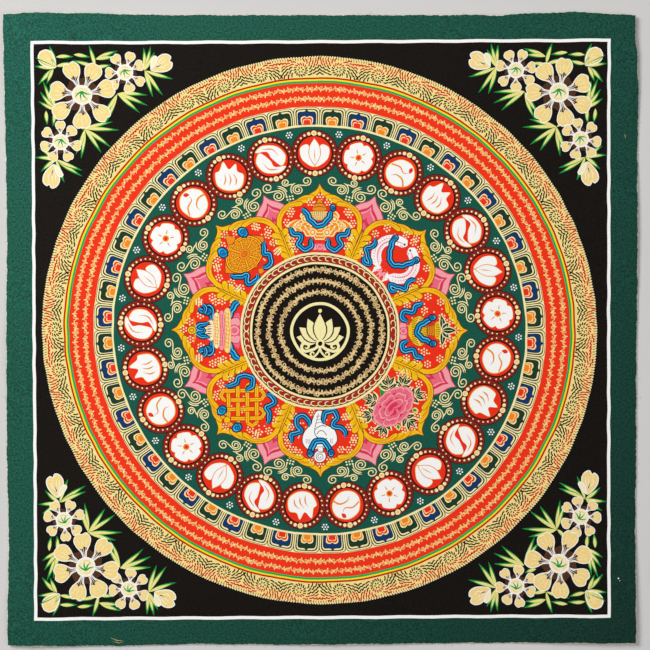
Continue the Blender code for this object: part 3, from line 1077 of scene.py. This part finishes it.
def draw_lotus():
    """The back petals with the bouquets between them, the front petals, then the symbols."""
    for k in range(PETAL_COUNT):
        back_petal(petal_frame(UP - TAU * (k + 0.5) / PETAL_COUNT))
        for side in (-1, 1):
            angle = UP - TAU * k / PETAL_COUNT - BOUQUET_TURN * side
            scroll_bouquet(facing_out(BOUQUET_RADIUS, angle, flip=side < 0))
    axes = [UP - TAU * k / PETAL_COUNT - math.radians(PETAL_LEAN[k]) for k in range(PETAL_COUNT)]
    for axis in axes:
        front_petal(petal_frame(axis))
    for axis, symbol in zip(axes, SYMBOLS):
        draw_symbol(facing_out(SYMBOL_RADIUS, axis), symbol)


GROUND_ROSETTES = (-17.4 + 6.4j, 17.4 + 6.4j, -21.0 - 1.4j, 21.0 - 1.4j, -18.4 - 8.4j, 18.4 - 8.4j,
                   -16.6 - 14.8j, 16.6 - 14.8j, -5.8 + 12.2j, 5.8 + 12.2j, 15.6j)


def draw_symbol(own, symbol):
    """A symbol over its ground of dots and rosettes. Its function returns where more rosettes fit."""
    before = len(shapes)
    places = symbol(own)
    drawn = taken_back(before)
    chance = random.Random(len(drawn))
    for place in (*places, *GROUND_ROSETTES):
        rosette(own, place + complex(chance.uniform(-0.5, 0.5), chance.uniform(-0.5, 0.5)))
    for _ in range(SYMBOL_DOTS):
        across = chance.uniform(-19, 19)
        out = chance.uniform(-18, 14 - 0.5 * abs(across))
        own.disc(complex(across * (1 + out / 90), out), 0.5, "cream", 7)
    shapes.extend(drawn)


# ---- The middle ---------------------------------------------------------------------------------
def draw_chain():
    """A ring of pale hooked links. The links of one half of it are turned over."""
    mandala.disc(0, CHAIN_EDGE[1], "cream", MIDDLE_SIDES, "paint_middle")
    mandala.disc(0, CHAIN_EDGE[0], "lamp_black", MIDDLE_SIDES)
    mandala.disc(0, CHAIN_EDGE[0] - 0.25, "brick", MIDDLE_SIDES)
    link = curve([2.3 + 1.1j, 0.5 + 1.5j, -1.4 + 1.1j, -2.2 - 0.1j, -1.3 - 1.2j, 0.6 - 1.3j], 3)
    for width, pigment, *tapers in ((1.15, "oxblood"), (0.62, "cream", 0.0, 0.2)):
        for k in range(CHAIN_LINKS):
            own = facing_out(CHAIN_MIDDLE, TAU * k / CHAIN_LINKS, 1.0, k > CHAIN_LINKS // 2)
            own.line(link, width, pigment, *tapers)


def draw_emblem():
    """A golden lotus in full bloom, in its ring."""
    mandala.discs(0, (EMBLEM_RING[1], "cream", 96), (EMBLEM_RING[0], "lamp_black", 96))
    own = mandala.at(-0.6j, size=1.22)
    for k in (-3, 3, -2, 2, -1, 1, 0):
        blade = own.at(-5.0j + 0.5 * k, -0.42 * k)
        blade.fill(leaf_shape(15.4 - 1.3 * abs(k), 7.6, 0.25 * k), "lamp_black")
        blade.fill(leaf_shape(14.4 - 1.3 * abs(k), 6.2, 0.25 * k) + 0.4j, "cream")
        blade.line([2j, 5j, 8j], 0.45, "shell_gold", 0.4, 0.5)
    for side in own.both_sides():
        side.line(tendril_path(0.3 - 6.0j, 7.4 - 7.2j, 2.6, 1.3, 1, -0.1), 1.5, "cream", 0.0, 0.3)
        side.line(tendril_path(-7.4j, 3.6 - 11.0j, 1.6, 1.1, 1, -0.1), 1.0, "cream", 0.0, 0.3)
    own.discs(-5.6j, (2.3, "cream", 16), (1.2, "lamp_black", 12))
    own.disc(11.2j, 1.0, "cream", 12)


def draw_middle():
    draw_chain()
    mandala.discs(0, (DISC_EDGE[1], "cream", MIDDLE_SIDES), (DISC_EDGE[0], "lamp_black", MIDDLE_SIDES))
    for k, radius in enumerate(INNER_VINES):
        running_vine(radius, 2.8, 1.25, "old_gold", "bronze", INNER_VINE_SEED + k)
    draw_emblem()


def draw_painting():
    draw_ground()
    draw_wear()
    draw_scroll_rim()
    draw_sprays()
    for k, radius in enumerate(OUTER_VINES):
        running_vine(radius, 3.0, 1.0, "rose_gold", "shell_gold", OUTER_VINE_SEED + k)
    draw_frieze()
    draw_roundels()
    draw_lotus()
    draw_middle()


# ---- From the drawing to meshes -----------------------------------------------------------------
def linear(colour):
    """A colour as the eye sees it, 0 to 255, as the light that the renderer works with."""
    parts = [c / 255 for c in colour]
    return [c / 12.92 if c <= 0.04045 else ((c + 0.055) / 1.055) ** 2.4 for c in parts]


class SheetSurface:
    """The upper face of the part's sheet, asked for its height under a point."""

    def __init__(self):
        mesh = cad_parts[SHEET_NODE].data
        upper = [face.vertices[:] for face in mesh.polygons if face.normal.z > 0.5]
        self.tree = BVHTree.FromPolygons([v.co for v in mesh.vertices], upper)

    def height(self, x, y):
        hit = self.tree.ray_cast(Vector((x, y, 1.0)), Vector((0, 0, -1)))[0]
        if hit is None:
            hit = self.tree.find_nearest(Vector((x, y, 0.0)))[0]
        return hit.z


def counter_clockwise(outline):
    """The outline without doubled points. A stroke's four corners are put in order round it."""
    outline = outline[abs(outline - np.roll(outline, 1)) > 2 * MERGE]
    if len(outline) == 4:
        return outline[np.argsort(np.angle(outline - outline.mean()))]
    after = np.roll(outline, -1)
    turns = (outline.real * after.imag - after.real * outline.imag).sum()
    return outline if turns > 0 else outline[::-1]


def flatten():
    """Cuts all outlines into one layer: its points, its triangles, and the shapes over each."""
    points = []
    faces = []
    for outline, _, _ in shapes:
        outline = counter_clockwise(shake(outline))
        faces.append(list(range(len(points), len(points) + len(outline))))
        points.extend(Vector((p.real, p.imag)) for p in outline)
    reach = int(200 // GRID_STEP)
    for column in range(-reach, reach + 1):
        points.extend(Vector((column * GRID_STEP, row * GRID_STEP)) for row in range(-reach, reach + 1))
    flat = delaunay_2d_cdt(points, [], faces, 1, MERGE, True)
    return flat[0], flat[2], flat[5]


def sort_triangles(triangles, over):
    """The triangles of each part, with the pigment on top of each."""
    parts = {}
    for triangle, covers in zip(triangles, over):
        if covers:
            top = max(covers)
            under = max(k for k in covers if shapes[k][2])
            parts.setdefault(shapes[under][2], []).append((triangle, shapes[top][1]))
    return parts


def add_object(name, data):
    piece = bpy.data.objects.new(name, data)
    bpy.context.scene.collection.objects.link(piece)
    return piece


def built_object(name, built, material):
    """The object of a mesh that is built, in one material."""
    mesh = bpy.data.meshes.new(name)
    built.to_mesh(mesh)
    built.free()
    mesh.materials.append(material)
    return add_object(name, mesh)


def paint_mesh(name, points, heights, faces, materials):
    """One part of the paint layer, with a slot for each pigment in it and a flat UV map."""
    used = sorted({k for triangle, _ in faces for k in triangle})
    place = {k: n for n, k in enumerate(used)}
    mesh = bpy.data.meshes.new(name)
    corners = [(points[k].x * MM, points[k].y * MM, heights[k]) for k in used]
    mesh.from_pydata(corners, [], [[place[k] for k in triangle] for triangle, _ in faces])
    slots = {}
    for face, (_, pigment) in zip(mesh.polygons, faces):
        if pigment not in slots:
            slots[pigment] = len(slots)
            mesh.materials.append(materials[pigment])
        face.material_index = slots[pigment]
    flat = mesh.uv_layers.new(name="flat")
    size = max(max(abs(x), abs(y)) for x, y, _ in corners)
    for corner, uv in zip(mesh.loops, flat.uv):
        x, y, _ = corners[corner.vertex_index]
        uv.vector = (0.5 + 0.49 * x / size, 0.5 + 0.49 * y / size)
    mesh.shade_smooth()
    return add_object(name, mesh)


def make_paint(surface, materials):
    points, triangles, over = flatten()
    heights = [surface.height(p.x * MM, p.y * MM) + COAT * MM for p in points]
    parts = sort_triangles(triangles, over).items()
    return [paint_mesh(name, points, heights, faces, materials) for name, faces in parts]


# ---- Materials ----------------------------------------------------------------------------------


def new_material(name, roughness):
    """A material, its nodes, its shader and the place on the piece for its textures."""
    material = bpy.data.materials.new(name)
    material.use_nodes = True
    tree = material.node_tree
    shader = tree.nodes["Principled BSDF"]
    shader.inputs["Roughness"].default_value = roughness
    shader.inputs["Specular IOR Level"].default_value = 0.12
    return material, tree, shader, add_node(tree, "ShaderNodeTexCoord").outputs["Object"]


def add_node(tree, kind, **values):
    node = tree.nodes.new(kind)
    for name, value in values.items():
        if name in node.inputs:
            node.inputs[name].default_value = value
        else:
            setattr(node, name, value)
    return node


def noise_node(tree, place, scale, detail=3.0, **values):
    node = add_node(tree, "ShaderNodeTexNoise", Scale=scale, Detail=detail, **values)
    tree.links.new(place, node.inputs["Vector"])
    return node.outputs["Fac"]


def weave_height(tree, place):
    """Over-and-under threads, a little uneven, as a height from 0 to 1."""
    both = add_node(tree, "ShaderNodeMath", operation="MULTIPLY")
    for k, direction in enumerate("XY"):
        wave = add_node(tree, "ShaderNodeTexWave", Scale=WEAVE_SCALE, Distortion=0.6, Detail=1.0)
        wave.bands_direction = direction
        tree.links.new(place, wave.inputs["Vector"])
        tree.links.new(wave.outputs["Fac"], both.inputs[k])
    return both.outputs[0]


def add_bump(tree, shader, height, strength, distance):
    bump = add_node(tree, "ShaderNodeBump", Strength=strength, Distance=distance)
    tree.links.new(height, bump.inputs["Height"])
    tree.links.new(bump.outputs["Normal"], shader.inputs["Normal"])


def mixed(tree, factor, low, high):
    """low where the factor is 0, high where it is 1. Both are colours, or both are sockets."""
    mix = add_node(tree, "ShaderNodeMix", data_type="RGBA")
    tree.links.new(factor, mix.inputs["Factor"])
    for name, value in (("A", low), ("B", high)):
        if isinstance(value, bpy.types.NodeSocket):
            tree.links.new(value, mix.inputs[name])
        else:
            mix.inputs[name].default_value = (*value, 1)
    return mix.outputs["Result"]


def spread_out(tree, factor, low, high, start=0.0, end=1.0):
    """Stretches the part of a factor between low and high from start to end."""
    ramp = add_node(tree, "ShaderNodeMapRange")
    ends = {"From Min": low, "From Max": high, "To Min": start, "To Max": end}
    for name, value in ends.items():
        ramp.inputs[name].default_value = value
    tree.links.new(factor, ramp.inputs["Value"])
    return ramp.outputs["Result"]


def diagonal(tree, place):
    """0 at the sheet's lower right corner and 1 at its upper left corner."""
    dot = add_node(tree, "ShaderNodeVectorMath", operation="DOT_PRODUCT")
    tree.links.new(place, dot.inputs[0])
    dot.inputs[1].default_value = (-1.0, 0.75, 0.0)
    return spread_out(tree, dot.outputs["Value"], -0.33, 0.33)


def pigment_material(name, colour, roughness, variation):
    """Mineral paint on primed canvas: a mottled coat over a faint weave."""
    material, tree, shader, place = new_material("paint_" + name, roughness)
    base = np.array(linear(colour))
    # Painted shade and light: the coat is darker towards the lower right and lighter towards the upper left,
    # for the light falling from there.
    shade_share = PAINTED_SHADE.get(name, 0.06)
    mottle = spread_out(tree, noise_node(tree, place, 900.0, 6.0, Roughness=0.8), 0.36, 0.64)
    lit_and_shaded = []
    for share in (1 - shade_share, 1 + shade_share):
        low = base * share * max(1 - variation, 0.0)
        high = np.minimum(base * share * (1 + variation), 1.0)
        lit_and_shaded.append(mixed(tree, mottle, low, high))
    tree.links.new(mixed(tree, diagonal(tree, place), *lit_and_shaded), shader.inputs["Base Color"])
    worn = noise_node(tree, place, 700.0, 2.0)
    rough = spread_out(tree, worn, 0.3, 0.7, roughness - 0.08, roughness + 0.08)
    tree.links.new(rough, shader.inputs["Roughness"])
    add_bump(tree, shader, weave_height(tree, place), 0.40, 0.00008)
    return material


def cotton_material():
    """Raw cotton: an off-white with faint stains, and a plain weave."""
    material, tree, shader, place = new_material("raw_cotton", 0.85)
    stain = spread_out(tree, noise_node(tree, place, 40.0, 5.0), 0.3, 0.7)
    colour = mixed(tree, stain, linear((206, 198, 178)), linear((238, 233, 218)))
    tree.links.new(colour, shader.inputs["Base Color"])
    shader.inputs["Sheen Weight"].default_value = 0.15
    add_bump(tree, shader, weave_height(tree, place), 0.6, 0.00015)
    return material


def floor_material():
    """A plain pale surface, a little uneven in tone."""
    material, tree, shader, place = new_material("studio_floor", 0.9)
    tone = noise_node(tree, place, 6.0, 2.0)
    tree.links.new(mixed(tree, tone, (0.62, 0.61, 0.60), (0.66, 0.65, 0.64)), shader.inputs["Base Color"])
    return material


# ---- The canvas and its frayed edge -------------------------------------------------------------


def make_canvas(cotton):
    """The cotton sheet itself, on the part's own shape."""
    built = bmesh.new()
    built.from_mesh(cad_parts[SHEET_NODE].data)
    bmesh.ops.remove_doubles(built, verts=built.verts[:], dist=1e-6)
    bmesh.ops.subdivide_edges(built, edges=built.edges[:], cuts=2, use_grid_fill=True)
    canvas = built_object("cotton_canvas", built, cotton)
    canvas.data.shade_smooth()
    canvas.data.set_sharp_from_angle(angle=math.radians(35))
    return canvas


def make_fray(surface, cotton):
    """Short thread ends that stand out of the cut edges."""
    chance = random.Random(FRAY_SEED)
    built = bmesh.new()
    for place in spaced(cut_outline(), FRAY_STEP):
        if chance.random() < FRAY_GAPS:
            continue
        if abs(place.real) > abs(place.imag):
            heading = complex(np.sign(place.real), 0)
        else:
            heading = complex(0, np.sign(place.imag))
        heading *= turned(chance.uniform(-0.7, 0.7))
        length = chance.uniform(0.5, 1.5) * (2.0 if chance.random() < 0.06 else 1.0)
        low = surface.height(place.real * MM, place.imag * MM) - chance.uniform(0.05, 0.75) * MM
        add_thread(built, place - 0.4 * heading, heading, length + 0.4, low, chance)
    fray = built_object("frayed_threads", built, cotton)
    fray.data.shade_smooth()
    return fray


def add_thread(built, start, heading, length, height, chance):
    """A thread end: a thin three-sided tube that bends and tapers."""
    bend = chance.uniform(-0.4, 0.4)
    rings = []
    for share in (0.0, 0.35, 0.7, 1.0):
        middle = start + heading * length * share * turned(bend * share)
        radius = THREAD_RADIUS * (1 - 0.6 * share)
        level = height + 0.10 * MM * math.sin(3 * share + 9 * bend)
        ring = []
        for corner in range(3):
            angle = TAU * corner / 3
            point = (middle + heading * 1j * math.cos(angle) * radius) * MM
            ring.append(built.verts.new((point.real, point.imag, level + math.sin(angle) * radius * MM)))
        rings.append(ring)
    for low, high in zip(rings, rings[1:]):
        for k in range(3):
            built.faces.new((low[k], low[(k + 1) % 3], high[(k + 1) % 3], high[k]))
    built.faces.new(rings[0][::-1])
    built.faces.new(rings[-1])


# ---- Studio -------------------------------------------------------------------------------------
VIEW_WIDTH = 0.4088  # how much of the surface the picture shows
CAMERA_PLACE = (0.0025, 0.0025)
LENS = 100.0
SENSOR = 36.0
FLOOR_REACH = 9.0  # far enough that no view shows its edge


def make_floor():
    built = bmesh.new()
    bmesh.ops.create_grid(built, x_segments=2, y_segments=2, size=FLOOR_REACH)
    built_object("floor", built, floor_material())


def make_camera():
    """The camera looks straight down, from where the picture's width is VIEW_WIDTH."""
    camera = add_object("camera", bpy.data.cameras.new("camera"))
    camera.data.lens = LENS
    camera.data.sensor_width = SENSOR
    camera.location = (*CAMERA_PLACE, VIEW_WIDTH * LENS / SENSOR + 0.001)
    bpy.context.scene.camera = camera


def add_light(name, place, target, size, power):
    light = add_object(name, bpy.data.lights.new(name, "AREA"))
    light.data.size = size
    light.data.energy = power
    light.location = place
    light.rotation_euler = (Vector(target) - Vector(place)).to_track_quat("-Z", "Y").to_euler()


def make_lights():
    """A key light from the upper left, a weak fill from the right and a plain white sky."""
    add_light("key", (-1.3, 0.9, 1.6), (-0.1, 0.1, 0), size=1.2, power=42)
    add_light("fill", (1.4, -0.6, 1.8), (0, 0, 0), size=1.6, power=10)
    world = bpy.data.worlds.new("studio")
    world.use_nodes = True
    background = world.node_tree.nodes["Background"]
    background.inputs["Color"].default_value = (1, 1, 1, 1)
    background.inputs["Strength"].default_value = 0.30
    bpy.context.scene.world = world
    bpy.context.scene.view_settings.view_transform = "Standard"


def main():
    make_camera()
    make_floor()
    make_lights()
    surface = SheetSurface()
    cotton = cotton_material()
    draw_painting()
    materials = {name: pigment_material(name, *facts) for name, facts in PIGMENTS.items()}
    paint = make_paint(surface, materials)
    canvas = make_canvas(cotton)
    fray = make_fray(surface, cotton)
    for piece in (*paint, canvas, fray):
        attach(piece, "root")
    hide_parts(SHEET_NODE)


main()
